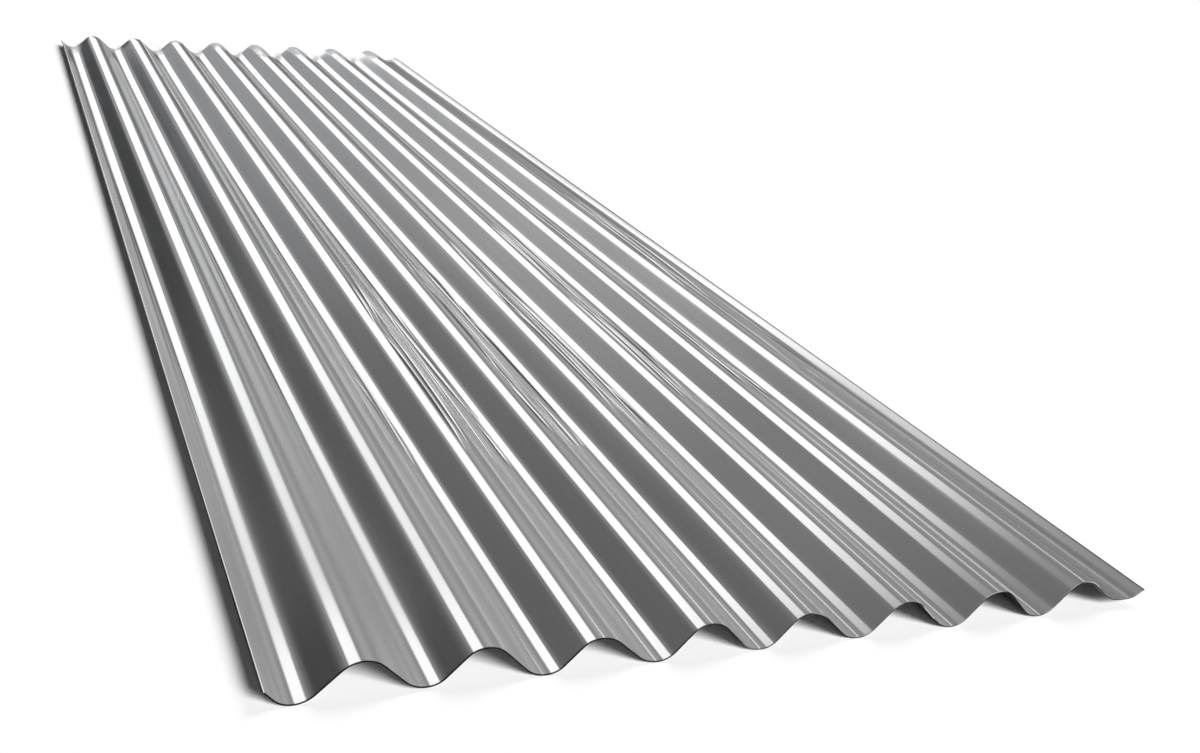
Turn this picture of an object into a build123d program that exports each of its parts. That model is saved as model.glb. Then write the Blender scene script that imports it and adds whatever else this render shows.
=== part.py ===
"""Corrugated steel sheet for roofs and walls: one roll-formed piece, lying on its troughs.

Millimetres. X runs across the waves, Y along them, Z up. The origin is on the floor,
under the middle trough and halfway along the sheet.
"""

import os
from math import cos, radians, sin, tan

from build123d import *

# Driving dimensions
LENGTH = 2000.0  # along the waves, from one sheared end to the other
PITCH = 67.7  # from one crest to the next
DEPTH = 22.2  # overall, from the underside of the troughs to the top of the crests
THICKNESS = 0.7  # of the zinc-coated steel
WEB_SLOPE = 46.0  # degrees above level, of the flat web between a trough and a crest
EDGE_WEB = 8.4  # flat web left past the outermost bend, up to each slit long edge
CREST_COUNT = 8

# Bend radius and web length that make arcs and webs tangent at this pitch and depth
half_pitch = PITCH / 2
rise = DEPTH - THICKNESS  # of the middle of the thickness, from trough to crest
slope = radians(WEB_SLOPE)
bend_radius = (half_pitch * sin(slope) - rise * cos(slope)) / (2 * (1 - cos(slope)))
web_length = rise / tan(slope / 2) - half_pitch

# The left slit edge, at the middle of the thickness
trough_height = THICKNESS / 2
outer_trough_x = CREST_COUNT * half_pitch
edge_x = outer_trough_x + bend_radius * sin(slope) + EDGE_WEB * cos(slope)
edge_height = trough_height + bend_radius * (1 - cos(slope)) + EDGE_WEB * sin(slope)

with BuildPart() as corrugated_sheet:
    # Section: the middle of the thickness as one tangent line, then given its thickness
    with BuildSketch(Plane.XZ):
        with BuildLine():
            web = PolarLine((-edge_x, edge_height), EDGE_WEB, -WEB_SLOPE)
            for wave in range(CREST_COUNT):
                trough = JernArc(web @ 1, web % 1, bend_radius, 2 * WEB_SLOPE)
                web = PolarLine(trough @ 1, web_length, WEB_SLOPE)
                crest = JernArc(web @ 1, web % 1, bend_radius, -2 * WEB_SLOPE)
                web = PolarLine(crest @ 1, web_length, -WEB_SLOPE)
            trough = JernArc(web @ 1, web % 1, bend_radius, 2 * WEB_SLOPE)
            web = PolarLine(trough @ 1, EDGE_WEB, WEB_SLOPE)
        trace(line_width=THICKNESS)

    # Both ends are sheared square to the waves
    extrude(amount=LENGTH / 2, both=True)

corrugated_sheet.part.label = "corrugated_sheet"

os.makedirs("parts", exist_ok=True)
export_step(corrugated_sheet.part, "parts/corrugated_sheet.step")
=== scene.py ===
# %% [markdown]
# # A corrugated steel sheet, dressed for its photograph
# The sheet is one piece of thin, bright, zinc-coated steel, rolled into eight waves.
# CAD already holds its true size. This lesson gives it the surface: a mirror-like skin
# with rolling marks, creases that lie along the waves, worn edges and dull sheared
# ends. Everything is in metres, in the same frame as the CAD: X across the waves, Y
# along them, Z up, with the floor at zero.

# %% Load the frame
from math import cos, pi, radians, sin, tan

import bpy
import numpy as np
from mathutils import Matrix, Vector


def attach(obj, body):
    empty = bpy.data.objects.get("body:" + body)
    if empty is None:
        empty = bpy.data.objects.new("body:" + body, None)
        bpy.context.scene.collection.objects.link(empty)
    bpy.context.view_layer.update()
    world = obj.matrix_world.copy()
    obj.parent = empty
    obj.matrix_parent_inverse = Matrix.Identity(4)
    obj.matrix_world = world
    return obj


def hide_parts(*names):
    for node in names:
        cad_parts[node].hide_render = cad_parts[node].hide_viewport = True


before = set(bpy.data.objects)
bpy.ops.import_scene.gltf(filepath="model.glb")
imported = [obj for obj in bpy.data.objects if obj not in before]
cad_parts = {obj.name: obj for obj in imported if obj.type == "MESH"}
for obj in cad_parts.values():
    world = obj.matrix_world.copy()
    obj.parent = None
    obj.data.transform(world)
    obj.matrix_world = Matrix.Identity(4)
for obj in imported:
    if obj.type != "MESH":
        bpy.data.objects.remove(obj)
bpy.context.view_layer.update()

# %% [markdown]
# ## The camera
# The photograph was taken from low on the left of the near end, looking along the
# waves and down at them, with the camera tipped a little to one side. A camera can be
# pointed with three turns or with a target. The tip is a roll about the line of sight,
# so here the camera's axes are written out as a matrix: first where it looks, then its
# right and its up, both turned by the roll.

# %% Camera
CAMERA_PLACE = Vector((-0.4060, -1.6353, 0.4352))
TURN_RIGHT, LOOK_DOWN, ROLL = radians(24.13), radians(20.37), radians(6.79)
LENS_MM, SENSOR_MM, NEAREST_SEEN = 43.53, 36.0, 0.01

looks = Vector((
    sin(TURN_RIGHT) * cos(LOOK_DOWN),
    cos(TURN_RIGHT) * cos(LOOK_DOWN),
    -sin(LOOK_DOWN),
))
level_right = Vector((cos(TURN_RIGHT), -sin(TURN_RIGHT), 0.0))
level_up = level_right.cross(looks)
right = level_right * cos(ROLL) + level_up * sin(ROLL)
up = level_up * cos(ROLL) - level_right * sin(ROLL)

camera = bpy.data.objects.new("camera", bpy.data.cameras.new("camera"))
bpy.context.scene.collection.objects.link(camera)
camera.matrix_world = Matrix((
    (right.x, up.x, -looks.x, CAMERA_PLACE.x),
    (right.y, up.y, -looks.y, CAMERA_PLACE.y),
    (right.z, up.z, -looks.z, CAMERA_PLACE.z),
    (0.0, 0.0, 0.0, 1.0),
))
camera.data.sensor_width = SENSOR_MM
camera.data.lens = LENS_MM
camera.data.clip_start = NEAREST_SEEN
bpy.context.scene.camera = camera
print("camera at", tuple(round(c, 3) for c in camera.location), "lens", LENS_MM, "mm")

# %% [markdown]
# ## The section of the waves
# A roll-formed wave is an arc, a short flat web and an arc the other way, each running
# into the next with no corner. A sine curve would be simpler, but its sides are never
# flat. One line through the middle of the thickness is enough: the two skins lie half a
# thickness to either side of it. The line is walked piece by piece, keeping the
# distance walked, because that is also where a mark on the flat strip ends up after
# rolling. Points crowd towards the two edges, where the skins turn in on a small round.

# %% Section sizes
PITCH, DEPTH, THICKNESS, LENGTH = 0.0677, 0.0222, 0.0007, 2.0
WEB_SLOPE = radians(46.0)
EDGE_WEB = 0.0084
CRESTS = 8

half_pitch, rise = PITCH / 2, DEPTH - THICKNESS
bend = (half_pitch * sin(WEB_SLOPE) - rise * cos(WEB_SLOPE)) / (2 * (1 - cos(WEB_SLOPE)))
web = rise / tan(WEB_SLOPE / 2) - half_pitch
arc = bend * 2 * WEB_SLOPE
strip_pitch = 2 * (arc + web)
first_crest = EDGE_WEB + arc + web + arc / 2
print("bend", round(bend, 5), "web", round(web, 5), "one wave of flat strip", round(strip_pitch, 5))

# %% Section line
ARC_PARTS, WEB_PARTS = 14, 6
EDGE_STEPS = np.array([0.0, 0.00002, 0.00006, 0.00012, 0.0002, 0.0004, 0.0012, 0.004])

arc_shares = np.linspace(0, 1, ARC_PARTS + 1)[1:]
web_shares = np.linspace(0, 1, WEB_PARTS + 1)[1:]
left_shares = np.append(EDGE_STEPS / EDGE_WEB, 1.0)
right_shares = (1 - left_shares)[::-1][1:]


def walk_section():
    """X, Z, slope and distance walked at points of the middle line, from the left edge."""
    one_wave = [(arc, 2 * WEB_SLOPE, arc_shares), (web, 0, web_shares),
                (arc, -2 * WEB_SLOPE, arc_shares), (web, 0, web_shares)]
    pieces = [(EDGE_WEB, 0, left_shares)] + one_wave * CRESTS
    pieces += [(arc, 2 * WEB_SLOPE, arc_shares), (EDGE_WEB, 0, right_shares)]
    x = -(CRESTS * half_pitch + bend * sin(WEB_SLOPE) + EDGE_WEB * cos(WEB_SLOPE))
    z = THICKNESS / 2 + bend * (1 - cos(WEB_SLOPE)) + EDGE_WEB * sin(WEB_SLOPE)
    slope, walked, found = -WEB_SLOPE, 0.0, []
    for length, turn, shares in pieces:
        s = slope + turn * shares
        if turn:
            radius = length / turn
            dx, dz = radius * (np.sin(s) - sin(slope)), radius * (cos(slope) - np.cos(s))
        else:
            dx, dz = length * shares * cos(slope), length * shares * sin(slope)
        found.append(np.stack([x + dx, z + dz, s, walked + length * shares]))
        x, z, slope, walked = x + dx[-1], z + dz[-1], slope + turn, walked + length
    return np.concatenate(found, axis=1)


line_x, line_z, line_slope, line_walked = walk_section()
strip_width = float(line_walked[-1])
print("section", len(line_x), "points,", round(strip_width, 4), "m of flat strip")

# %% [markdown]
# ## A grid along the sheet
# The line is repeated at stations along the sheet, which gives a grid. Extruding the
# line would be quicker, but it would leave nothing between the ends to bend. A real
# sheet is not dead true, and a mirror shows it, so the next cells move the grid itself:
# by tenths of a millimetre along the sheet, and by up to three millimetres at its
# borders. None of them reaches past the true depth and width.

# %% Stations
INNER_STATIONS, INNER_FROM = 98, 0.018

near_y, far_y = -LENGTH / 2, LENGTH / 2
inner = np.linspace(near_y + INNER_FROM, far_y - INNER_FROM, INNER_STATIONS)
stations = np.concatenate([near_y + EDGE_STEPS, inner, far_y - EDGE_STEPS[::-1]])
grid_y, grid_walked = np.meshgrid(stations, line_walked, indexing="ij")
grid_x = np.tile(line_x, (len(stations), 1))
grid_z = np.tile(line_z, (len(stations), 1))
side_x, side_z = -np.sin(line_slope)[None, :], np.cos(line_slope)[None, :]


def smooth(share):
    """A share from 0 to 1 that starts and ends gently."""
    return share * share * (3 - 2 * share)


print("grid", grid_x.shape)

# %% [markdown]
# ## Waves of uneven depth
# Rolls are set by hand and a coil is never even, so each wave is a hair shallower in
# one place than in another. Noise would give lumps. Two slow sine waves with their own
# starting points at each crest and trough give the long, lazy change that rolls leave.

# %% Waves of uneven depth
SHALLOWER = 0.006
SLOW_LENGTHS = (0.83, 1.9)

slow = np.random.default_rng(7)
phases = slow.uniform(0, 2 * pi, (CRESTS * 2 + 3, 2))
half_wave = (grid_x - line_x[0]) / half_pitch
low_wave = np.clip(np.floor(half_wave).astype(int), 0, CRESTS * 2 + 1)
blend = smooth(half_wave - low_wave)


def slow_change(turn):
    """Between 0 and 2, different at each crest and trough, and slow along the sheet."""
    swings = [
        0.5 * np.sin(2 * pi * grid_y / length + phases[turn, way])
        for way, length in enumerate(SLOW_LENGTHS)
    ]
    return 1 + swings[0] + swings[1]


change = slow_change(low_wave) * (1 - blend) + slow_change(low_wave + 1) * blend
shallower = SHALLOWER * change
grid_z = DEPTH / 2 + (grid_z - DEPTH / 2) * (1 - shallower)
print("waves up to", round(float(shallower.max()) * 100, 1), "% shallower")

# %% [markdown]
# ## The near end, wave by wave
# The end nearest the camera shows that no two of its waves are quite alike: a sheared
# end springs a millimetre or two this way and that. Each trough and crest gets its own
# small move, in millimetres sideways and up, which fades out along the sheet.

# %% Near end, wave by wave
NEAR_END = (
    (-0.8, 0), (1.8, 0), (2.5, 1.2), (1.6, 0), (2.8, 0), (0.6, -2.1),
    (3.0, 0), (0.9, -0.5), (1.6, 0), (-0.9, -0.7), (0.8, 0), (-0.2, -0.4),
    (1.0, 0), (-0.2, 0), (0, 0.3), (0, 0), (0, 0),
)
NEAR_REACH = 0.9
EDGE_HELD_FROM, EDGE_HELD_OVER = half_pitch * (CRESTS + 0.4), 0.010

turns_x = (np.arange(len(NEAR_END)) - CRESTS) * half_pitch
moves = np.array(NEAR_END) / 1000
share = (np.clip(grid_x[0], turns_x[0], turns_x[-1]) - turns_x[0]) / half_pitch
left_turn = np.minimum(share.astype(int), len(NEAR_END) - 2)
part = smooth(share - left_turn)[:, None]
move = moves[left_turn] * (1 - part) + moves[left_turn + 1] * part
reach = np.clip(1 - (grid_y - near_y) / NEAR_REACH, 0, 1) ** 2
free = np.clip((EDGE_HELD_FROM - abs(grid_x)) / EDGE_HELD_OVER, 0, 1)
grid_x = grid_x + move[:, 0] * reach * free
grid_z = grid_z + move[:, 1] * reach
print("near end moved by up to", round(float(abs(moves).max()) * 1000, 1), "mm")

# %% [markdown]
# ## The right edge that sprung flatter
# The last wave has nothing beyond it to hold it down, and on this sheet it has opened:
# its trough stands a few millimetres clear of the floor. The line from the last web to
# the edge is squeezed towards the height of its own tip, so the tip stays where it is,
# and the trough moves a little outward.

# %% Right edge that sprung flatter
EDGE_FLATTER, EDGE_SHIFT = 0.48, 0.0022

last_web = EDGE_WEB + (arc + web) * (2 * CRESTS) - web
last_bottom = last_web + web + arc / 2
into_edge = smooth(np.clip((grid_walked - last_web) / (web + arc / 2), 0, 1))
past_trough = np.clip((grid_walked - last_bottom) / (arc / 2 + EDGE_WEB), 0, 1)
tip_z = grid_z[:, -1:]
grid_z = tip_z + (grid_z - tip_z) * (1 - EDGE_FLATTER * into_edge)
grid_x = grid_x + EDGE_SHIFT * into_edge * (1 - past_trough)
print("last trough", round(float(grid_z[0, np.argmax(past_trough[0] > 0)]) * 1000, 2), "mm up")

# %% [markdown]
# ## The far end that sprung flatter
# A cut end relaxes, because no more steel follows to keep its waves in shape. Far from
# the camera the waves end a little flatter, and the last few centimetres dip again.
# Scaling the height by a share that grows towards the end is all it takes.

# %% Far end that sprung flatter
FLAT_REACH, FLAT_SHARE = 0.30, 0.06
LIP_REACH, LIP_SHARE, LIP_LIFT = 0.040, 0.03, 0.0012

to_end = far_y - grid_y
nearing = np.clip(1 - (to_end - LIP_REACH) / FLAT_REACH, 0, 1) ** 2
lip = np.clip(1 - to_end / LIP_REACH, 0, 1) ** 2
flatter = FLAT_SHARE * nearing + LIP_SHARE * lip
lift = LIP_LIFT * nearing * (1 - lip)
grid_z = THICKNESS / 2 + (grid_z - THICKNESS / 2) * (1 - flatter) + lift
print("far end", round(float(flatter.max() * rise) * 1000, 2), "mm flatter")

# %% [markdown]
# ## Long shallow dents
# Hands, straps and other sheets press dents a tenth of a millimetre deep into the sides
# of the waves. They can't be seen as shapes, only as a kink in a reflection. A bump
# map would do that too, but real dents in the mesh are part of the shape itself. Each
# one is a long bell curve on the strip, pressed straight into the skin.

# %% Long shallow dents
DENTS = 60
DENT_FROM_CREST = (0.008, 0.036)
DENT_MIDDLE, DENT_SPREAD = 0.05, 0.42
DENT_HALF_WIDTHS, DENT_HALF_LENGTHS = (0.0022, 0.0048), (0.035, 0.11)
DENT_DEPTHS, DENT_LEANS = (0.00005, 0.00016), (-0.03, 0.03)

dent = np.random.default_rng(11)
pressed = np.zeros_like(grid_x)
for _ in range(DENTS):
    crest_at = first_crest + strip_pitch * dent.integers(0, CRESTS)
    middle = crest_at + dent.uniform(*DENT_FROM_CREST)
    along = dent.normal(DENT_MIDDLE, DENT_SPREAD)
    half_width, half_length = dent.uniform(*DENT_HALF_WIDTHS), dent.uniform(*DENT_HALF_LENGTHS)
    depth, lean = dent.uniform(*DENT_DEPTHS), dent.uniform(*DENT_LEANS)
    across = (grid_walked - middle - lean * (grid_y - along)) / half_width
    pressed += depth * np.exp(-across ** 2 - ((grid_y - along) / half_length) ** 2)
grid_x = grid_x - side_x * pressed
grid_z = grid_z - side_z * pressed
print(DENTS, "dents, deepest", round(float(pressed.max()) * 1000, 2), "mm")

# %% [markdown]
# ## The two skins
# Both skins come from the same grid, half a thickness to either side. Their borders are
# drawn in on a small round: all the way round the two long edges, which are the
# coil's own slit edges, and on the upper side of the two ends, where the shear has
# pulled the steel down. That round is what catches a thin bright line of light. A bevel
# modifier could cut it, but the points already crowd where it has to be.

# %% Skins
ROUND = 0.0002


def drawn_in(distance):
    """How far a skin has turned in at this distance from a border, on a quarter round."""
    left = np.clip(1 - distance / ROUND, 0, 1)
    return ROUND * (1 - np.sqrt(1 - left ** 2))


from_end = np.minimum(grid_y - near_y, far_y - grid_y)
from_side = np.minimum(grid_walked, strip_width - grid_walked)
upper_half = THICKNESS / 2 - np.maximum(drawn_in(from_end), drawn_in(from_side))
under_half = THICKNESS / 2 - drawn_in(from_side)
upper = np.stack([grid_x + side_x * upper_half, grid_y, grid_z + side_z * upper_half], -1)
under = np.stack([grid_x - side_x * under_half, grid_y, grid_z - side_z * under_half], -1)
upper[..., 2] = np.minimum(upper[..., 2], DEPTH)
under[..., 2] = np.maximum(under[..., 2], 0.0)
corners = np.concatenate([upper.reshape(-1, 3), under.reshape(-1, 3)])
print("skins between heights", corners[:, 2].min().round(6), "and", corners[:, 2].max().round(6))

# %% [markdown]
# ## The faces
# A grid needs no modelling tools to become faces: four neighbouring points are one
# face. The borders are closed by four strips of faces between the skins. Each set of
# faces is listed so that it faces outward, and gets the number of its finish.

# %% Faces
rows, columns = grid_x.shape
above = np.arange(rows * columns).reshape(rows, columns)
below = above + rows * columns


def strip_of(a, b, c, d):
    """Faces of four corners each, from four equal arrays of point numbers."""
    return np.stack([a, b, c, d], -1).reshape(-1, 4)


faces = [
    strip_of(above[:-1, :-1], above[:-1, 1:], above[1:, 1:], above[1:, :-1]),
    strip_of(below[:-1, :-1], below[1:, :-1], below[1:, 1:], below[:-1, 1:]),
    strip_of(above[0, :-1], below[0, :-1], below[0, 1:], above[0, 1:]),
    strip_of(above[-1, :-1], above[-1, 1:], below[-1, 1:], below[-1, :-1]),
    strip_of(above[:-1, 0], above[1:, 0], below[1:, 0], below[:-1, 0]),
    strip_of(above[:-1, -1], below[:-1, -1], below[1:, -1], above[1:, -1]),
]
UPPER, UNDER, SHEARED = 0, 1, 2
face_finish = [UPPER, UNDER, SHEARED, SHEARED, UPPER, UPPER]
finishes = np.repeat(face_finish, [len(some) for some in faces])
quads = np.concatenate(faces)
print(len(quads), "faces")

# %% [markdown]
# ## The mesh
# The points also carry their place on the flat strip as a UV map, in metres: how far
# across and how far along it was before rolling. Marks made on the flat strip then
# follow the waves by themselves. The edges of the cut are kept sharp, and everything
# rounder than that is shaded smooth.

# %% Mesh
SHARP_FROM = radians(40)

mesh = bpy.data.meshes.new("rolled_sheet")
mesh.from_pydata(corners.tolist(), [], quads.tolist())
strip_map = mesh.uv_layers.new(name="flat_strip")
flat = np.stack([grid_walked, grid_y - near_y], -1).reshape(-1, 2)
strip_map.data.foreach_set("uv", flat[quads.reshape(-1) % len(flat)].reshape(-1))
mesh.polygons.foreach_set("material_index", finishes.astype(np.int32))
mesh.shade_smooth()
mesh.set_sharp_from_angle(angle=SHARP_FROM)
mesh.update()

sheet = bpy.data.objects.new("rolled_sheet", mesh)
bpy.context.scene.collection.objects.link(sheet)
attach(sheet, "root")
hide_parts("corrugated_sheet")
print("sheet mesh", len(corners), "corners,", 2 * len(quads), "triangles")

# %% [markdown]
# ## Node helpers
# A node tree reads best as a list of what feeds what. `node` makes a node, sets its
# properties and feeds its inputs, where an input takes either a plain value or the
# output of an earlier node. A socket knows which tree it is in, so `placed`, `mixed` and
# the helpers after them need no tree: they build where their values come from. The Mix
# node's colour sockets go by number, because its other sockets have the same names.

# %% Node helpers
MIX_SHARE, MIX_FIRST, MIX_SECOND, MIX_RESULT = 0, 6, 7, 2


def feed(value, socket):
    """Give an input its value: a plain one, or the output of an earlier node."""
    if isinstance(value, bpy.types.NodeSocket):
        socket.id_data.links.new(value, socket)
    else:
        socket.default_value = value


def tree_of(values):
    """The node tree that holds the first linked value among these."""
    return next(value.id_data for value in values if isinstance(value, bpy.types.NodeSocket))


def node(tree, kind, inputs=None, **settings):
    """A new node, with its properties set and its inputs fed."""
    made = tree.nodes.new("ShaderNode" + kind)
    for name, value in settings.items():
        setattr(made, name, value)
    for name, value in (inputs or {}).items():
        feed(value, made.inputs[name])
    return made


def placed(group, inputs):
    """The outputs of a group, placed where its inputs come from."""
    return node(tree_of(inputs.values()), "Group", inputs, node_tree=group).outputs


def mixed(first, second, share, **settings):
    """One colour turned into another by a share."""
    inputs = {MIX_FIRST: first, MIX_SECOND: second, MIX_SHARE: share}
    made = node(tree_of(inputs.values()), "Mix", inputs, data_type="RGBA", **settings)
    return made.outputs[MIX_RESULT]


print("node helpers ready")

# %% [markdown]
# ## Maths helpers
# Most of a mask is arithmetic on where a point is on the strip. `eased` carries a value
# smoothly from one range into another, `faded` runs the other way, from one down to
# nothing, and `evenly` goes in a straight line. `summed` adds masks to a starting
# level, each at its own strength.

# %% Maths helpers
def maths(operation, *values):
    """The result of one Math node."""
    return node(tree_of(values), "Math", dict(enumerate(values)), operation=operation).outputs[0]


def times(first, second):
    """The product of two values or masks."""
    return maths("MULTIPLY", first, second)


def larger(first, second):
    """The larger of two values or masks."""
    return maths("MAXIMUM", first, second)


def away(value, middle):
    """How far a value is from a middle, to either side."""
    return maths("ABSOLUTE", maths("SUBTRACT", value, middle))


def evenly(value, low, high, to_low=0.0, to_high=1.0, kind="LINEAR"):
    """The value carried from the range low to high into another range."""
    ends = {"Value": value, "From Min": low, "From Max": high, "To Min": to_low, "To Max": to_high}
    return node(value.id_data, "MapRange", ends, interpolation_type=kind).outputs["Result"]


def eased(value, low, high, to_low=0.0, to_high=1.0):
    """The value carried into another range, starting and ending gently."""
    return evenly(value, low, high, to_low, to_high, kind="SMOOTHSTEP")


def faded(value, low, high):
    """One up to low, and gently down to nothing at high."""
    return eased(value, low, high, 1.0, 0.0)


def summed(start, parts):
    """A starting level, with each mask added at its own strength."""
    total = start
    for mask, strength in parts:
        total = maths("MULTIPLY_ADD", mask, strength, total)
    return total


print("maths helpers ready")

# %% [markdown]
# ## Groups and the strip
# An effect that several finishes share is a node group: `new_group` opens one with
# named inputs and outputs, so that it is built once and placed with other values. The
# strip's map gives each point two numbers in metres, across from the left edge and
# along from the near end. `split` takes them apart, and `stretched` measures them in
# steps of a chosen size, for a noise that is longer one way than the other.

# %% Group helpers
def new_group(name, inputs, outputs):
    """An empty shader node group: its tree, the values given to it and those it gives."""
    tree = bpy.data.node_groups.new(name, "ShaderNodeTree")
    for label, start in inputs.items():
        kind = "NodeSocketVector" if start is None else "NodeSocketFloat"
        socket = tree.interface.new_socket(name=label, in_out="INPUT", socket_type=kind)
        if start is not None:
            socket.default_value = start
    for label in outputs:
        tree.interface.new_socket(name=label, in_out="OUTPUT", socket_type="NodeSocketFloat")
    entry, result = tree.nodes.new("NodeGroupInput"), tree.nodes.new("NodeGroupOutput")
    return tree, entry.outputs, result.inputs


def split(vector):
    """The X and Y of a vector: on the strip, metres across and metres along."""
    apart = node(vector.id_data, "SeparateXYZ", {0: vector})
    return apart.outputs["X"], apart.outputs["Y"]


def joined(x, y, z=0.0):
    """Three numbers as one vector."""
    return node(tree_of((x, y, z)), "CombineXYZ", {"X": x, "Y": y, "Z": z}).outputs[0]


def stretched(vector, size_across, size_along, seed):
    """The strip in steps of one size across and another along, moved on by a seed."""
    across, along = split(vector)
    steps_across = maths("DIVIDE", across, size_across)
    steps_along = maths("DIVIDE", along, size_along)
    return joined(steps_across, steps_along, seed)


print("group helpers ready")

# %% [markdown]
# ## Streaks along the strip
# Rolls and guides mark a sheet along its length. A picture of scratches would repeat,
# and wouldn't follow the waves. A noise stretched a hundredfold along the strip gives a
# soft streak of any width.

# %% Group: streaks along the strip
streaks, given, gives = new_group(
    "streaks", {"Strip": None, "Width": 0.003, "Length": 0.5, "Seed": 0.0}, ("Streak",),
)
long_steps = stretched(given["Strip"], given["Width"], given["Length"], given["Seed"])
noise = node(streaks, "TexNoise", {"Vector": long_steps, "Scale": 1.0, "Detail": 0.5})
feed(noise.outputs[0], gives["Streak"])
print("group", streaks.name)

# %% [markdown]
# ## Patches
# Wear is never even: the zinc is duller in some places, chalky in others. A broad
# noise, cut off softly, says where. With a very small size the same group is the fine
# grain of the zinc.

# %% Group: patches
patches, given, gives = new_group(
    "patches",
    {"Strip": None, "Across": 0.05, "Along": 0.2, "Low": 0.45, "High": 0.6, "Seed": 0.0},
    ("Mask",),
)
broad_steps = stretched(given["Strip"], given["Across"], given["Along"], given["Seed"])
noise = node(patches, "TexNoise", {"Vector": broad_steps, "Scale": 1.0, "Detail": 1.5})
feed(eased(noise.outputs[0], given["Low"], given["High"]), gives["Mask"])
print("group", patches.name)

# %% [markdown]
# ## Creases
# A crease is long, thin and tapered to nothing at both ends. Drawing each one by hand
# would take hundreds of lines, so the strip is cut into long cells instead. In each
# cell a few random numbers say whether there is a crease, where it starts, and how far
# it leans and bows. The rows of cells are staggered, so their ends never line up.

# %% Group: creases, the cells
creases, given, gives = new_group(
    "creases",
    {"Strip": None, "Across": 0.006, "Along": 0.2, "Thin": 0.0006,
     "Lean": 0.4, "Scatter": 0.4, "Share": 0.5, "Seed": 0.0},
    ("Line", "Beside"),
)
across, along = split(given["Strip"])
column = maths("DIVIDE", across, given["Across"])
column_at = maths("FLOOR", column)
stagger = node(creases, "TexWhiteNoise", {"Vector": joined(column_at, given["Seed"])})
row = maths("DIVIDE", along, given["Along"])
row = maths("ADD", row, stagger.outputs["Value"])
cell = joined(column_at, maths("FLOOR", row), given["Seed"])
chance = node(creases, "TexWhiteNoise", {"Vector": cell})
chances = node(creases, "SeparateXYZ", {0: chance.outputs["Color"]})
is_there = maths("LESS_THAN", chance.outputs["Value"], given["Share"])


def by_chance(axis, most):
    """A random number of this cell, up to half of most to either side."""
    return times(maths("SUBTRACT", chances.outputs[axis], 0.5), most)


starts = by_chance("X", given["Scatter"])
leans = by_chance("Y", given["Lean"])
bows = by_chance("Z", given["Lean"])
print("group", creases.name, "has its cells")

# %% [markdown]
# ## The line in a cell
# Inside its cell the crease is a bowed line, thickest in the middle. `Line` is the
# furrow, and `Beside` the little ridge of steel that was pushed up next to it.

# %% Group: creases, the line in a cell
LINE_SOFT = (0.25, 0.85)
RIDGE_BESIDE = 1.3
THINNEST = 0.00001

across_cell = maths("SUBTRACT", maths("FRACT", column), 0.5)
along_cell = maths("MULTIPLY_ADD", maths("FRACT", row), 2.0, -1.0)
taper = maths("SUBTRACT", 1.0, times(along_cell, along_cell))
bowed = maths("MULTIPLY_ADD", bows, taper, starts)
line_at = maths("MULTIPLY_ADD", leans, along_cell, bowed)
off_line = times(maths("SUBTRACT", across_cell, line_at), given["Across"])
thick = maths("MULTIPLY_ADD", taper, given["Thin"], THINNEST)
off_share = maths("DIVIDE", off_line, thick)
for label, shift in (("Line", 0.0), ("Beside", RIDGE_BESIDE)):
    mark = faded(away(off_share, shift), *LINE_SOFT)
    feed(times(mark, is_there), gives[label])
print("group", creases.name)

# %% [markdown]
# ## Where on a wave
# Some marks keep to one part of a wave. The creases lie on the shoulder just past each
# crest and on the foot of the falling side, next to the trough; chalk gathers on the
# caps of the crests and in the troughs. The strip repeats every wave, so the distance
# across it, divided by one wave and with the whole waves dropped, says where a point
# is: 0 on a crest, 0.5 in a trough, and 1 on the next crest.

# %% Group: where on a wave
SHOULDER_AT, SHOULDER = 0.05, (0.07, 0.10)
FOOT_AT, FOOT = 0.46, (0.08, 0.11)
TROUGH_AT, TROUGH = 0.5, (0.05, 0.19)
CAP = (0.09, 0.19)

wave_side, given, gives = new_group(
    "wave_side",
    {"Strip": None, "Pitch": strip_pitch, "Start": 0.0},
    ("Creased", "Trough", "Cap"),
)
across, _ = split(given["Strip"])
from_crest = maths("SUBTRACT", across, given["Start"])
turn_share = maths("FRACT", maths("DIVIDE", from_crest, given["Pitch"]))
past_crest = maths("WRAP", turn_share, 0.5, -0.5)
on_shoulder = faded(away(past_crest, SHOULDER_AT), *SHOULDER)
on_foot = faded(away(turn_share, FOOT_AT), *FOOT)
in_trough = faded(away(turn_share, TROUGH_AT), *TROUGH)
on_cap = faded(maths("ABSOLUTE", past_crest), *CAP)
feed(larger(on_shoulder, on_foot), gives["Creased"])
feed(in_trough, gives["Trough"])
feed(on_cap, gives["Cap"])
print("group", wave_side.name)

# %% [markdown]
# ## Where the folds lie
# A long thin sheet folds where it is lifted. On this one a belt of creases crosses the
# middle of the sheet, further along towards its right edge. One long fold lies beside
# the bottom of each trough over the middle of the length, and far along there is a
# folded line on the falling sides of the left waves. Three masks say where each kind
# belongs. Each is a few soft limits, in metres on the strip, multiplied together.

# %% Group: where the folds lie
BELT_STARTS, START_LEAN = (0.15, 0.27), -0.30
BELT_ENDS, END_LEAN = (0.32, 0.52), -0.80
BELT_FROM_LEFT = (0.14, 0.26)
MIDDLE_STARTS, MIDDLE_ENDS = (0.25, 0.45), (1.2, 1.5)
FAR_STARTS, FAR_FROM_LEFT, FAR_TO_RIGHT = (1.30, 1.50), (0.12, 0.14), (0.33, 0.45)

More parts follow.
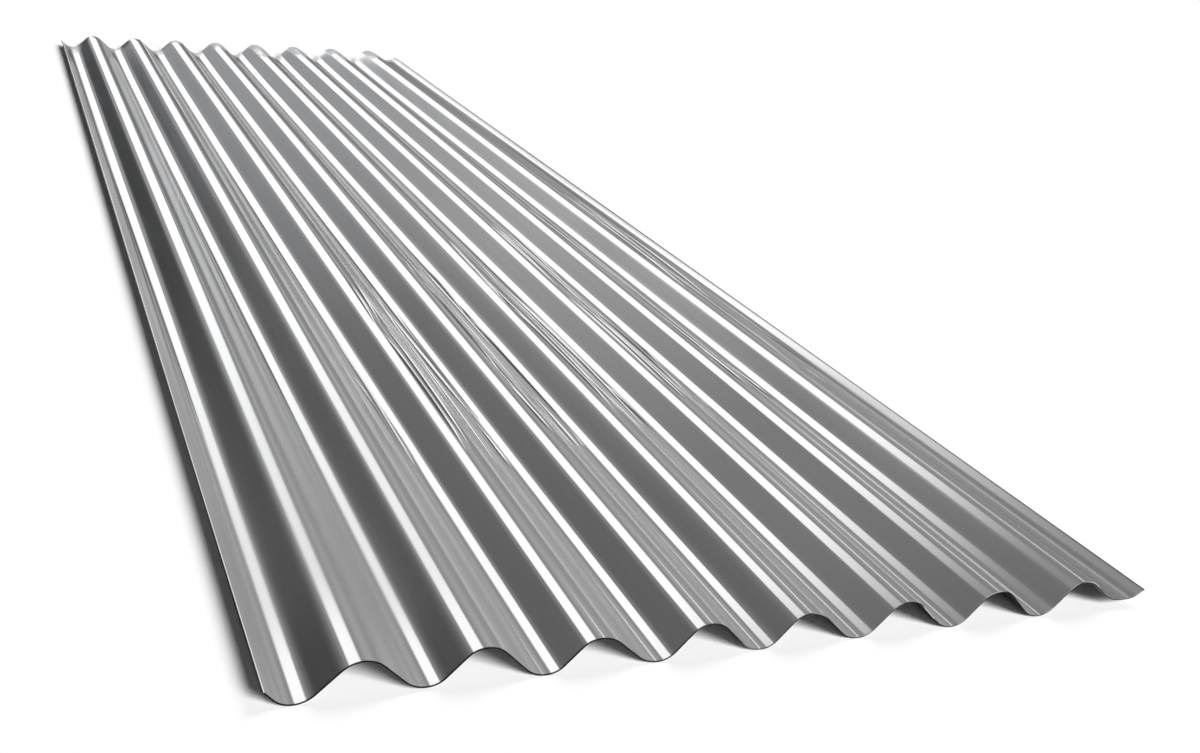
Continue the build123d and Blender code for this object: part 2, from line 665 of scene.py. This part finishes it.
folds_at, given, gives = new_group("folds_at", {"Strip": None}, ("Belt", "Middle", "Far Left"))
across, along = split(given["Strip"])
start_line = maths("MULTIPLY_ADD", across, START_LEAN, along)
end_line = maths("MULTIPLY_ADD", across, END_LEAN, along)
in_belt = times(eased(start_line, *BELT_STARTS), faded(end_line, *BELT_ENDS))
in_belt = times(in_belt, eased(across, *BELT_FROM_LEFT))
in_middle = times(eased(along, *MIDDLE_STARTS), faded(along, *MIDDLE_ENDS))
far_left = times(eased(along, *FAR_STARTS), faded(across, *FAR_TO_RIGHT))
far_left = times(far_left, eased(across, *FAR_FROM_LEFT))
for label, mask in (("Belt", in_belt), ("Middle", in_middle), ("Far Left", far_left)):
    feed(mask, gives[label])
print("group", folds_at.name)

# %% [markdown]
# ## Slit edges, bare and painted
# The long edges were slit from a wider coil after coating, so a line along each is bare
# steel, and it is painted dark well past the cut as shade. A thin painted highlight runs
# just inside it. The dark line is about a millimetre wide at the near end, and grows to
# one and a half on the left and three on the right. Lines drawn into the mesh would need
# many more faces, and masks by distance from the edge need none.

# %% Group: bare edges and painted light, the slit edges
TO_RIGHT = (0.20, 0.45)
BARE_SHADE_WIDTH, BARE_SHADE_GROWS, BARE_SHADE_GROWTH = 0.0007, (0.3, 1.2), (0.0004, 0.0024)
LEFT_GROWTH, RIGHT_GROWTH = 0.3, 0.7
BARE_SHADE_SOFT = (0.8, 1.2)
PAINTED_GLINT_AT, PAINTED_GLINT_SOFT, PAINTED_GLINT_FROM = 1.8, (0.2, 0.7), (0.3, 0.8)

bare_edges_and_painted_light, given, gives = new_group(
    "bare_edges_and_painted_light", {"Strip": None, "Strip Width": strip_width, "Cap": 0.0}, ("Bare Edge Shade", "Painted Glint"),
)
across, along = split(given["Strip"])
from_right = maths("SUBTRACT", given["Strip Width"], across)
from_edge = maths("MINIMUM", across, from_right)
to_right = eased(across, *TO_RIGHT)
on_left = maths("SUBTRACT", 1.0, to_right)
growth_here = maths("MULTIPLY_ADD", to_right, RIGHT_GROWTH, LEFT_GROWTH)
growth = times(eased(along, *BARE_SHADE_GROWS, *BARE_SHADE_GROWTH), growth_here)
edge_share = maths("DIVIDE", from_edge, maths("ADD", growth, BARE_SHADE_WIDTH))
# painted shade on bare steel: a dark line along each slit edge
slit = faded(edge_share, *BARE_SHADE_SOFT)
# a painted highlight: a bright line just inside each slit edge
painted_glint = faded(away(edge_share, PAINTED_GLINT_AT), *PAINTED_GLINT_SOFT)
painted_glint_reach = larger(on_left, eased(along, *PAINTED_GLINT_FROM))
feed(times(painted_glint, painted_glint_reach), gives["Painted Glint"])
print("group", bare_edges_and_painted_light.name, "has its slit edges")

# %% [markdown]
# ## Dark ends
# The left half of the near end is painted dark over its last half millimetre, as shade
# that thickens the line of the cut, and so is the first crest a little at its far end.
# Both masks need distances that the group already has, so they are made in it too, and
# wherever the masks meet the larger one counts.

# %% Group: bare edges and painted light, the dark ends
NEAR_SHADE_REACH, FAR_SHADE_REACH = (0.0003, 0.0008), (0.002, 0.005)
FIRST_CAP_ENDS = (0.09, 0.11)

# painted shade on the left half of the near end
near_end_shade_painted = times(faded(along, *NEAR_SHADE_REACH), on_left)
first_cap = times(given["Cap"], faded(across, *FIRST_CAP_ENDS))
from_far = maths("SUBTRACT", LENGTH, along)
# painted shade at the far end of the first crest
far_cap_shade_painted = times(faded(from_far, *FAR_SHADE_REACH), first_cap)
all_bare_and_shade = larger(larger(slit, near_end_shade_painted), far_cap_shade_painted)
feed(all_bare_and_shade, gives["Bare Edge Shade"])
print("group", bare_edges_and_painted_light.name)

# %% [markdown]
# ## The chalky far end
# Damp that has stood in a stack turns zinc pale and chalky from the ends inward. Here
# it has taken the far end's crests, more of them towards the right, the last few
# centimetres of the troughs, and the left corner. The limit is made uneven by a patchy
# mask, given to the group as `Uneven`, because a straight limit looks like a pasted
# plate.

# %% Group: chalky end
CHALK_GROWS, CHALK_REACH = (0.12, 0.42), (0.012, 0.110)
CHALK_SOFT, CHALK_FROM_LEFT = (0.35, 1.25), (0.10, 0.12)
TROUGH_CHALK, CORNER_CHALK, CORNER_WIDTH = (0.010, 0.050), (0.02, 0.09), (0.025, 0.040)
LEAST_UNEVEN = 0.60

chalky_end, given, gives = new_group(
    "chalky_end", {"Strip": None, "Cap": 0.0, "Trough": 0.0, "Uneven": 0.5}, ("Chalky",),
)
across, along = split(given["Strip"])
from_far = maths("SUBTRACT", LENGTH, along)
uneven = times(from_far, maths("ADD", given["Uneven"], LEAST_UNEVEN))
reach_here = eased(across, *CHALK_GROWS, *CHALK_REACH)
reach_share = maths("DIVIDE", uneven, reach_here)
on_caps = times(faded(reach_share, *CHALK_SOFT), given["Cap"])
on_caps = times(on_caps, eased(across, *CHALK_FROM_LEFT))
in_troughs = times(faded(uneven, *TROUGH_CHALK), given["Trough"])
in_corner = times(faded(uneven, *CORNER_CHALK), faded(across, *CORNER_WIDTH))
feed(larger(on_caps, larger(in_troughs, in_corner)), gives["Chalky"])
print("group", chalky_end.name)

# %% [markdown]
# ## Duller and darker places
# The near left corner has dulled a little. The near end of the last trough, out at the
# right edge, is rougher, and darker with painted shade. The very first slope, along the
# left edge, darkens with painted shade as it goes away. These places are broad and soft,
# so plain ranges of the strip are enough.

# %% Group: duller places and painted shade
DULLED_ACROSS, DULLED_ALONG = (0.07, 0.26), (0.1, 0.8)
KEPT_AT_END, KEPT_SHARES = (0.015, 0.10), (0.25, 1.0)
LAST_TROUGH_FROM, LAST_TROUGH_TO, LAST_TROUGH_ALONG = 0.070, 0.045, (0.25, 0.7)
FIRST_SLOPE, FIRST_SLOPE_ALONG = (0.014, 0.024), (0.25, 1.0)

duller_and_painted_shade, given, gives = new_group(
    "duller_and_painted_shade", {"Strip": None}, ("Corner", "Last Trough", "First Slope"),
)
across, along = split(given["Strip"])
corner_dull = times(faded(across, *DULLED_ACROSS), faded(along, *DULLED_ALONG))
corner_dull = times(corner_dull, eased(along, *KEPT_AT_END, *KEPT_SHARES))
on_last = eased(across, strip_width - LAST_TROUGH_FROM, strip_width - LAST_TROUGH_TO)
# painted shade, with more roughness: the near end of the last trough
last_dull_and_painted_shade = times(on_last, faded(along, *LAST_TROUGH_ALONG))
# painted shade: the first slope darkens as it goes away
first_slope_painted_shade = times(faded(across, *FIRST_SLOPE), eased(along, *FIRST_SLOPE_ALONG))
feed(corner_dull, gives["Corner"])
feed(last_dull_and_painted_shade, gives["Last Trough"])
feed(first_slope_painted_shade, gives["First Slope"])
print("group", duller_and_painted_shade.name)

# %% [markdown]
# ## All the creases together
# The same `creases` group makes every fold, with other values each time. Two sizes of
# small crease are laid over each other in the belt. For the long folds the cells are
# one wave wide, and the strip is moved sideways until the fold falls in the middle of
# its cell. It is also drawn together by a hundredth, so that the fold wanders a little
# from one wave to the next.

# %% Creases in a finish
SMALL_CREASES = {"Across": 0.0062, "Along": 0.26, "Thin": 0.0019, "Lean": 0.8,
                 "Share": 0.75, "Seed": 3.0}
FINE_CREASES = {"Across": 0.0083, "Along": 0.40, "Thin": 0.0013, "Lean": 0.7,
                "Share": 0.7, "Seed": 9.0}
CREASE_SHOWS = (0.10, 0.45)
LONG_FOLD = {"Across": strip_pitch, "Along": 1.0, "Thin": 0.0019, "Lean": 0.012,
             "Scatter": 0.01, "Share": 0.9, "Seed": 12.0}
FAR_FOLD = {"Across": strip_pitch, "Along": 0.55, "Thin": 0.0028, "Lean": 0.05,
            "Scatter": 0.04, "Share": 1.0, "Seed": 15.0}
FOLD_SPREAD, FOLD_DRIFT = 0.991, 0.004
LONG_FOLD_AT = first_crest + 0.0018
FAR_FOLD_AT = first_crest - strip_pitch * 0.41


def creased_skin(strip, creased_side):
    """The furrows and the ridges of every crease and fold, as two masks."""
    where = placed(folds_at, {"Strip": strip})
    there = times(creased_side, where["Belt"])
    small = placed(creases, {"Strip": strip, **SMALL_CREASES})
    fine = placed(creases, {"Strip": strip, **FINE_CREASES})
    furrow, ridge = (
        eased(times(larger(small[label], fine[label]), there), *CREASE_SHOWS)
        for label in ("Line", "Beside")
    )

    across, along = split(strip)
    drift = maths("MULTIPLY_ADD", along, FOLD_DRIFT, -LONG_FOLD_AT)
    long_place = joined(maths("MULTIPLY_ADD", across, FOLD_SPREAD, drift), along)
    long_fold = placed(creases, {"Strip": long_place, **LONG_FOLD})
    furrow = larger(furrow, times(long_fold["Line"], where["Middle"]))

    far_place = joined(maths("MULTIPLY_ADD", across, FOLD_SPREAD, -FAR_FOLD_AT), along)
    far_fold = placed(creases, {"Strip": far_place, **FAR_FOLD})
    furrow = larger(furrow, times(far_fold["Line"], where["Far Left"]))
    ridge = larger(ridge, times(far_fold["Beside"], where["Far Left"]))
    return furrow, ridge


print("folds at", round(LONG_FOLD_AT, 4), "and", round(FAR_FOLD_AT, 4), "m across")

# %% [markdown]
# ## All the marks of the zinc
# One helper gathers every mark that changes over the strip, so the finish itself can
# be read as a list of marks and strengths. Broad and hair-fine streaks come from the
# rolls, a slow cloudiness and a fine grain from the zinc, and the rest from wear and
# painted light: painted shade in the furrows, along the edges, on the first slope and in
# the last trough, and painted highlights on the crease ridges and inside the slit edges.

# %% Marks of the zinc
ROLLED = {"Width": 0.008, "Length": 1.3, "Seed": 1.0}
HAIRS = {"Width": 0.0022, "Length": 0.6, "Seed": 2.0}
CLOUD = {"Across": 0.03, "Along": 0.25, "Low": 0.3, "High": 0.7, "Seed": 5.0}
GRAIN = {"Across": 0.0012, "Along": 0.003, "Low": 0.3, "High": 0.7, "Seed": 6.0}
CHALK_SHAPE = {"Across": 0.016, "Along": 0.060, "Low": 0.25, "High": 0.75, "Seed": 11.0}


def zinc_marks(strip):
    """Each mark of the zinc by name, as a mask over the strip."""
    wave = placed(wave_side, {"Strip": strip, "Start": first_crest})
    furrow, ridge = creased_skin(strip, wave["Creased"])
    edges = placed(bare_edges_and_painted_light, {"Strip": strip, "Cap": wave["Cap"]})
    uneven = placed(patches, {"Strip": strip, **CHALK_SHAPE})["Mask"]
    chalk = placed(chalky_end, {
        "Strip": strip, "Cap": wave["Cap"], "Trough": wave["Trough"], "Uneven": uneven,
    })
    dull = placed(duller_and_painted_shade, {"Strip": strip})
    return {
        "rolled": placed(streaks, {"Strip": strip, **ROLLED})["Streak"],
        "hairs": placed(streaks, {"Strip": strip, **HAIRS})["Streak"],
        "cloud": placed(patches, {"Strip": strip, **CLOUD})["Mask"],
        "grain": placed(patches, {"Strip": strip, **GRAIN})["Mask"],
        # the furrow darkens the colour as painted shade, and sinks the height
        "furrow": furrow,
        # bare steel at the edges and ends, darkened further as painted shade
        "bare edge shade": edges["Bare Edge Shade"],
        # painted highlights: white crease ridges and the line inside the slit edges
        "scuffs_and_painted_glints": larger(ridge, edges["Painted Glint"]),
        "ridge": ridge,
        "chalky": chalk["Chalky"],
        "dulled": dull["Corner"],
        # the last trough: rougher, and darker as painted shade
        "last trough": dull["Last Trough"],
        # painted shade on the first slope
        "first slope": dull["First Slope"],
    }


print("marks use", [group.name for group in bpy.data.node_groups])

# %% [markdown]
# ## Zinc coating
# Hot-dipped and skin-passed steel is close to a mirror, a touch blue. Its detail is in
# how evenly it shines, so most marks change the roughness more than the colour. A crease
# is a small furrow beside a small ridge: it goes into the height, with painted shade in
# the furrow and a painted highlight, scuffed white, on the ridge. What the steel mirrors
# of itself is blurred on the way, so light that has met the sheet once finds it rougher,
# and its colour for that light is painted a touch lighter near the near end and darker,
# as painted shade, further along. That comes from Light Path, kept in the material.

# %% Zinc skin
ZINC = (0.782, 0.785, 0.789, 1)
# the white of scuffs, used as a painted highlight on crease ridges and inside the slit edges
SCUFF_AND_GLINT_WHITE = (0.97, 0.975, 0.98, 1)
BLACK = (0, 0, 0, 1)
PLAIN_SHADE = 0.93
AGAIN_ROUGHER = 0.38
AGAIN_DARKER_FROM, AGAIN_PAINTED_SHADES = (0.2, 0.9), (0.08, -0.08)
AGAIN_DARKEST_FROM, AGAIN_LAST_PAINTED_SHADES = (1.1, 1.5), (0.0, -0.18)


def zinc_finish(name, shine, creased, cloudy):
    """A zinc-coated skin: its roughness at its best, how creased and how cloudy it is."""
    material = bpy.data.materials.new(name)
    material.use_nodes = True
    tree = material.node_tree
    steel = tree.nodes["Principled BSDF"]
    strip = node(tree, "UVMap", uv_map="flat_strip").outputs["UV"]
    mark = zinc_marks(strip)
    _, along = split(strip)
    again = node(tree, "LightPath").outputs["Is Glossy Ray"]
    # painted light and shade on what the steel mirrors of itself: lighter near the near end, darker
    # further along
    painted_reflection_level = maths(
        "ADD",
        eased(along, *AGAIN_DARKER_FROM, *AGAIN_PAINTED_SHADES),
        eased(along, *AGAIN_DARKEST_FROM, *AGAIN_LAST_PAINTED_SHADES),
    )

    shade = summed(PLAIN_SHADE, (
        (mark["rolled"], 0.10),
        (mark["grain"], 0.03),
        # painted shade: the furrow of each crease darkened
        (mark["furrow"], -0.80 * creased),
        # painted shade on the bare edges and ends
        (mark["bare edge shade"], -0.9),
        (mark["dulled"], -0.17),
        (mark["chalky"], -0.14),
        # painted shade in the last trough
        (mark["last trough"], -0.18),
        # painted shade on the first slope
        (mark["first slope"], -0.45),
        # painted light and shade for glossy rays
        (again, painted_reflection_level),
    ))
    tint = mixed(BLACK, ZINC, shade, clamp_factor=False)
    # the white is a painted highlight on the crease ridges and inside the slit edges
    feed(mixed(tint, SCUFF_AND_GLINT_WHITE, mark["scuffs_and_painted_glints"]), steel.inputs["Base Color"])

    metal = summed(1.0, (
        (mark["scuffs_and_painted_glints"], -0.8 * creased),
        (mark["dulled"], -0.08),
        (mark["chalky"], -0.55),
    ))
    feed(metal, steel.inputs["Metallic"])

    rough = summed(shine, (
        (mark["cloud"], 0.05 * cloudy),
        (mark["hairs"], 0.015),
        (mark["dulled"], 0.13),
        (mark["last trough"], 0.14),
        (mark["chalky"], 0.45),
        (mark["scuffs_and_painted_glints"], 0.4),
        (again, AGAIN_ROUGHER),
    ))
    feed(rough, steel.inputs["Roughness"])

    height = summed(0.0, (
        (mark["rolled"], 0.00002),
        (mark["furrow"], -0.00010 * creased),
        (mark["ridge"], 0.00008 * creased),
    ))
    bump = node(tree, "Bump", {"Height": height, "Distance": 1.0, "Strength": 1.0})
    feed(bump.outputs[0], steel.inputs["Normal"])
    return material


mesh.materials.append(zinc_finish("bright_zinc_upper", shine=0.07, creased=1.0, cloudy=1.0))
mesh.materials.append(zinc_finish("bright_zinc_under", shine=0.14, creased=0.4, cloudy=1.6))
print("zinc finishes", [m.name for m in mesh.materials])

# %% [markdown]
# ## Sheared ends
# The ends were cut after coating, so they show bare steel gone dark, painted near black
# as shade so that the cut reads as a dark line. The lines of the shear run through the
# thickness, and towards the right the blade has wiped zinc down over the cut here and
# there, painted paler as highlights. The strip's map has the same place on it above and
# below, so a streak made on it runs straight through the thickness.

# %% Sheared steel
# near-black painted shade on the cut ends, a little paler along the shear lines
CUT_SHADE_BLACK, CUT_SHADE_GREY = (0.002, 0.002, 0.002, 1), (0.008, 0.008, 0.008, 1)
# paler wiped zinc, laid where the cut shows painted highlights
WIPED_ZINC_HIGHLIGHT = (0.3, 0.305, 0.31, 1)
WIPED_HIGHLIGHT_PATCHES = {"Across": 0.03, "Along": 1.0, "Low": 0.52, "High": 0.62, "Seed": 7.0}
WIPED_HIGHLIGHT_FROM_LEFT = (0.25, 0.50)
SHEAR_LINES = {"Width": 0.0004, "Length": 1.0, "Seed": 8.0}
SHEAR_SOFT, SHEAR_ROUGHNESS = (0.3, 0.7), (0.6, 0.8)
CUT_SHEEN = 0.05

sheared = bpy.data.materials.new("sheared_steel")
sheared.use_nodes = True
tree = sheared.node_tree
cut_steel = tree.nodes["Principled BSDF"]
strip = node(tree, "UVMap", uv_map="flat_strip").outputs["UV"]
across, _ = split(strip)
# painted highlights: patches of wiped zinc towards the right
wiped_highlight = placed(patches, {"Strip": strip, **WIPED_HIGHLIGHT_PATCHES})["Mask"]
wiped_highlight = times(wiped_highlight, eased(across, *WIPED_HIGHLIGHT_FROM_LEFT))
shear_lines = placed(streaks, {"Strip": strip, **SHEAR_LINES})["Streak"]
lined = mixed(CUT_SHADE_BLACK, CUT_SHADE_GREY, shear_lines)
feed(mixed(lined, WIPED_ZINC_HIGHLIGHT, wiped_highlight), cut_steel.inputs["Base Color"])
cut_rough = eased(shear_lines, *SHEAR_SOFT, *SHEAR_ROUGHNESS)
feed(cut_rough, cut_steel.inputs["Roughness"])
cut_steel.inputs["Specular IOR Level"].default_value = CUT_SHEEN
mesh.materials.append(sheared)
print("cut finish", sheared.name)

# %% [markdown]
# ## Floor
# A plain white studio floor. It takes the sheet's shadow, and it looks white because it
# is painted white, not because more light falls on it. Mirrored in the steel it is
# painted greyer, as a painted reflection darker than the floor the camera sees.

# %% Floor
FLOOR_HALF, FLOOR_DROP = 30.0, 0.0001
# the second colour is a painted reflection: the floor as the steel mirrors it
FLOOR_SEEN, FLOOR_PAINTED_REFLECTION = (0.95, 0.95, 0.95, 1), (0.35, 0.35, 0.35, 1)

floor_signs = ((-1, -1), (1, -1), (1, 1), (-1, 1))
floor_corners = [(x * FLOOR_HALF, y * FLOOR_HALF, -FLOOR_DROP) for x, y in floor_signs]
floor_mesh = bpy.data.meshes.new("floor")
floor_mesh.from_pydata(floor_corners, [], [(0, 1, 2, 3)])
floor = bpy.data.objects.new("floor", floor_mesh)
bpy.context.scene.collection.objects.link(floor)

paper = bpy.data.materials.new("white_paper")
paper.use_nodes = True
tree = paper.node_tree
matt = tree.nodes["Principled BSDF"]
matt.inputs["Roughness"].default_value = 1.0
matt.inputs["Specular IOR Level"].default_value = 0.0
seen = node(tree, "LightPath").outputs
# painted reflection: the floor is greyer in the steel than to the camera
painted = mixed(FLOOR_SEEN, FLOOR_PAINTED_REFLECTION, seen["Is Glossy Ray"])
feed(painted, matt.inputs["Base Color"])
floor_mesh.materials.append(paper)
print("floor", 2 * FLOOR_HALF, "m wide")

# %% [markdown]
# ## The room in the mirror
# A mirror shows the room, so the room is most of the picture. It could be built from
# panels, but the steel only ever sees it, so it is painted on the world instead. A long
# white panel hangs over the sheet and ends a little to the left of overhead. Left of it
# the room is dark, and right of it a plain grey, with one thin strip of light. All of
# them run along the waves, so the room's level depends on one angle, measured round the
# sheet's length: 0 is level on the right, 90 straight up and 180 level on the left.
# Each list below is pairs of angle and level. NEAR is the room close above the sheet,
# MIDWAY and FAR are further along it, and GAP is a break in the panel above the near
# end.

# %% Levels of the room
NEAR = (
    (0, .34), (22, .34), (36, .40), (50, .44), (60, .42), (70, .30), (78, .34), (82, 1.32),
    (120, 1.32), (123, .27), (129, .245), (133, .235), (137, .21), (142, .148), (148, .145),
    (155, .066), (163, .018),
)
MIDWAY = (
    (0, .29), (22, .29), (36, .35), (50, .40), (60, .395), (70, .29), (78, .34), (82, 1.32),
    (120, 1.32), (123, .44), (129, .45), (133, .38), (137, .265), (142, .187), (148, .182),
    (155, .105), (163, .058),
)
FAR = (
    (0, .20), (35, .20), (49, .25), (56, .30), (64, .38), (71, .25), (78, .33), (82, 1.32),
    (120, 1.32), (123, .40), (129, .34), (133, .36), (137, .37), (142, .355), (148, .32),
    (155, .11), (163, .058),
)
GAP = (
    (0, .34), (36, .40), (50, .42), (60, .34), (78, .35), (92, .37), (116, .37), (124, .26),
    (137, .20), (163, .06),
)
print("room levels at", len(NEAR), len(MIDWAY), len(FAR), len(GAP), "angles")

# %% [markdown]
# ## Which way a ray goes
# Two numbers of a ray's direction are enough to look the room up: its angle round the
# sheet's length, and how much it runs along the sheet, from 0 straight across to 1.
# The panel's right edge runs outward as it goes away, so the angles right of it are
# moved on by up to WIDER degrees.

# %% World: which way a ray goes
PANEL_SPREADS, WIDER = (0.885, 0.975), 30.0
MOVED_ANGLES, HELD_ANGLES = (50.0, 119.0), (49.0, 58.0)

world = bpy.data.worlds.new("studio")
bpy.context.scene.world = world
world.use_nodes = True
tree = world.node_tree
tree.nodes.clear()
ray = node(tree, "SeparateXYZ", {0: node(tree, "TexCoord").outputs["Generated"]}).outputs
angle = times(maths("ARCTAN2", ray["Z"], ray["X"]), 180 / pi)
along_ray = maths("ABSOLUTE", ray["Y"])
widened = evenly(along_ray, *PANEL_SPREADS, 0.0, WIDER)
from_panel = evenly(angle, *MOVED_ANGLES, 1.0, 0.0)
moved = times(widened, times(from_panel, eased(angle, *HELD_ANGLES)))
half_turn = maths("DIVIDE", maths("ADD", angle, moved), 180.0)
print("world", world.name)

# %% [markdown]
# ## The painted room
# Each list becomes a colour ramp over half a turn. A ramp's colours are easiest to read
# between 0 and 1, so its levels are shares of TOP_LEVEL, and the light is turned up by
# it again. Mix nodes lead from one stretch of the room to the next. The far room is a
# touch blue, and overhead, where the near end looks, the room is a quarter darker.

# %% World: the painted room
TOP_LEVEL = 2.0
FAR_CAST = (0.984, 0.996, 1.022)
TO_MIDWAY, TO_FAR = (0.80, 0.91), (0.91, 0.97)
GAP_STARTS, GAP_ENDS = (0.40, 0.50), (0.655, 0.775)
OVERHEAD_ENDS, OVERHEAD_LEVELS = (0.62, 0.78), (0.72, 1.0)


def room_ramp(levels, cast=(1.0, 1.0, 1.0)):
    """The room's level by angle, as a colour ramp over half a turn."""
    made = node(tree, "ValToRGB", {"Fac": half_turn})
    stops = made.color_ramp.elements
    while len(stops) < len(levels):
        stops.new(0.5)
    for stop, (degrees_round, level) in zip(stops, levels):
        stop.position = degrees_round / 180
        stop.color = tuple(level / TOP_LEVEL * part for part in cast) + (1,)
    return made.outputs["Color"]


room = mixed(room_ramp(NEAR), room_ramp(MIDWAY), evenly(along_ray, *TO_MIDWAY))
room = mixed(room, room_ramp(FAR, FAR_CAST), evenly(along_ray, *TO_FAR))
in_gap = times(faded(ray["Y"], *GAP_ENDS), eased(ray["Y"], *GAP_STARTS))
room = mixed(room, room_ramp(GAP), in_gap)
room_level = times(eased(ray["Y"], *OVERHEAD_ENDS, *OVERHEAD_LEVELS), TOP_LEVEL)
painted_room = node(tree, "Background", {"Color": room, "Strength": room_level})
print("painted room up to", TOP_LEVEL)

# %% [markdown]
# ## The thin strip of light
# A narrow lamp on the right draws a thin bright line beside the broad white ones. It is
# added to the room as light of its own, soft at its sides and dimmer further along.

# %% World: the thin strip of light
STRIP_AT, STRIP_SOFT, STRIP_LEVEL = 46.5, (0.5, 3.0), 1.0
NEAR_STRIP_ENDS = (0.76, 0.81)
FAR_STRIP_STARTS, FAR_STRIP_LEVEL = (0.84, 0.89), 0.4
WHITE = (1, 1, 1, 1)

dim_strip = eased(ray["Y"], *FAR_STRIP_STARTS, 0.0, FAR_STRIP_LEVEL)
strip_lit = larger(faded(ray["Y"], *NEAR_STRIP_ENDS), dim_strip)
strip_across = eased(away(angle, STRIP_AT), *STRIP_SOFT, STRIP_LEVEL, 0.0)
strip_strength = times(strip_across, strip_lit)
thin_strip = node(tree, "Background", {"Color": WHITE, "Strength": strip_strength})
mirrored = node(tree, "AddShader", {0: painted_room.outputs[0], 1: thin_strip.outputs[0]})
print("strip of light at", STRIP_AT, "degrees")

# %% [markdown]
# ## What each ray sees
# The steel's reflections see the painted room. The camera sees plain white, and the
# floor gets only a faint even light, because its own light comes from the lamps.

# %% World: what each ray sees
FILL_LEVEL = 0.05

fill_light = node(tree, "Background", {"Color": WHITE, "Strength": FILL_LEVEL})
white = node(tree, "Background", {"Color": WHITE, "Strength": 1.0})
seen = node(tree, "LightPath").outputs
inside = node(tree, "MixShader", {
    0: seen["Is Glossy Ray"], 1: fill_light.outputs[0], 2: mirrored.outputs[0],
})
pick = node(tree, "MixShader", {
    0: seen["Is Camera Ray"], 1: inside.outputs[0], 2: white.outputs[0],
})
node(tree, "OutputWorld", {"Surface": pick.outputs[0]})
bpy.context.scene.view_settings.view_transform = "Standard"
print("view", bpy.context.scene.view_settings.view_transform)

# %% [markdown]
# ## Lamps for the shadow
# Two soft lamps make the shadow. The weaker one stands behind on the right, and gives a
# faint shade in front of the near end and along the left. The stronger one is low and
# nearly straight in front, a little to the right. It shines under the waves, so their
# shadow stays close to the steel, and it leaves a narrow dark band along the left edge.
# The steel doesn't mirror either: at these sizes they would show as white blots. Each
# row gives a lamp's name, where it stands (0 is the right, 90 behind the far end, 270
# in front), its height in degrees, the level that it gives the floor, and its softness.

# %% Lamps
LAMPS = (
    ("right_lamp", 35.0, 45.0, 0.16, 30.0),
    ("front_lamp", 288.0, 29.0, 0.85, 25.0),
)
for lamp_name, stands_at, height_angle, on_floor, softness in LAMPS:
    lamp = bpy.data.objects.new(lamp_name, bpy.data.lights.new(lamp_name, "SUN"))
    turn, lift_up = radians(stands_at), radians(height_angle)
    from_way = Vector((cos(lift_up) * cos(turn), cos(lift_up) * sin(turn), sin(lift_up)))
    lamp.rotation_euler = from_way.to_track_quat("Z", "Y").to_euler()
    lamp.data.energy = on_floor * pi / sin(lift_up)
    lamp.data.angle = radians(softness)
    lamp.visible_glossy = False
    bpy.context.scene.collection.objects.link(lamp)
    print(lamp_name, "gives the floor", on_floor)
